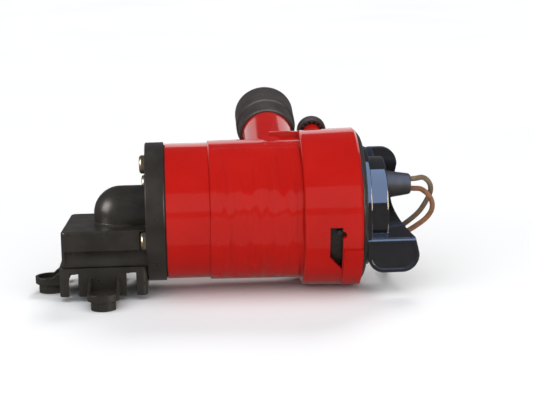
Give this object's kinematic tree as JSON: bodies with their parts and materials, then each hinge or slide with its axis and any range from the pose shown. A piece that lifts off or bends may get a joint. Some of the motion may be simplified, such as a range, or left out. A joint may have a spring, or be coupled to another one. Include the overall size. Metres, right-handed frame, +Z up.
{
  "type": "bilge pump",
  "caption": "In-line bilge pump with a stepped round housing, elbow inlet on a screw-down strainer foot, leaning outlet with union nut, and a twist-out motor cartridge with finger wings.",
  "frame": {"origin": "on the floor the foot stands on, midway between the front and back screw holes of the foot", "axes": "+X along the pump axis from the strainer foot towards the motor cap, +Y towards the outlet side, +Z up"},
  "size_m": [0.2216, 0.1302, 0.1029],
  "materials": {
    "red_plastic": "glossy moulded red plastic",
    "black_plastic": "satin moulded black plastic",
    "gloss_black": "polished black plastic",
    "nut_plastic": "fine-textured black plastic",
    "rubber": "black nitrile rubber",
    "stainless": "stainless steel",
    "plated_steel": "zinc-plated steel",
    "ferrite": "ferrite magnet",
    "bronze": "sintered bronze and brass",
    "carbon": "carbon",
    "lamination": "laminated electrical steel",
    "copper": "copper",
    "white_plastic": "natural acetal",
    "wire_dark": "dark wire insulation",
    "wire_brown": "brown wire insulation"
  },
  "bodies": {
    "housing": {"pump_housing": "red_plastic", "inlet_body": "black_plastic", "strainer_base": "black_plastic", "flange_gasket": "rubber", "flange_screws": "stainless", "outlet_oring": "rubber", "wire_dark": "wire_dark", "wire_brown": "wire_brown", "wire_dark_coil": "wire_dark", "wire_brown_coil": "wire_brown"},
    "cartridge": {"cartridge_shell": "black_plastic", "cartridge_orings": "rubber", "shaft_seal": "rubber", "locking_ring": "black_plastic", "end_cap": "gloss_black", "cable_gland": "rubber", "lead_ends": "wire_brown", "motor_can": "plated_steel", "magnets": "ferrite", "front_bearing": "bronze", "rear_bearing": "bronze", "motor_end_bell": "plated_steel", "brush_holder": "black_plastic", "brushes": "carbon", "brush_springs": "stainless"},
    "rotor": {"shaft": "stainless", "impeller": "white_plastic", "impeller_nut": "bronze", "armature_core": "lamination", "armature_winding": "copper", "commutator": "copper"},
    "outlet_washer": {"union_washer": "white_plastic"},
    "outlet_nut": {"union_nut": "nut_plastic"},
    "bleed_washer": {"bleed_seal": "rubber"},
    "bleed_knob": {"bleed_cap": "nut_plastic"}
  },
  "joints": [
    {"name": "cartridge_twist", "type": "hinge", "parent": "housing", "child": "cartridge", "pos_m": [0.138, 0, 0.0432], "axis": [1, 0, 0], "range_deg": [0, 24]},
    {"name": "rotor_spin", "type": "hinge", "parent": "cartridge", "child": "rotor", "pos_m": [0.085, 0, 0.0432], "axis": [1, 0, 0], "continuous": true},
    {"name": "union_travel", "type": "slide", "parent": "housing", "child": "outlet_washer", "axis": [0, 0.9659, 0.2588], "range_m": [0, 0.00901]},
    {"name": "union_turn", "type": "hinge", "parent": "outlet_washer", "child": "outlet_nut", "pos_m": [0.0923, 0.05368, 0.08243], "axis": [0, 0.9659, 0.2588], "range_deg": [0, 1080]},
    {"name": "bleed_travel", "type": "slide", "parent": "housing", "child": "bleed_washer", "axis": [0, 0.9659, 0.2588], "range_m": [0, 0.00351]},
    {"name": "bleed_turn", "type": "hinge", "parent": "bleed_washer", "child": "bleed_knob", "pos_m": [0.1173, 0.03335, 0.08102], "axis": [0, 0.9659, 0.2588], "range_deg": [0, 720]}
  ],
  "couplings": [
    {"joint": "union_travel", "follows": "union_turn", "m_per_rad": 0.00047746},
    {"joint": "bleed_travel", "follows": "bleed_turn", "m_per_rad": 0.00027852}
  ]
}
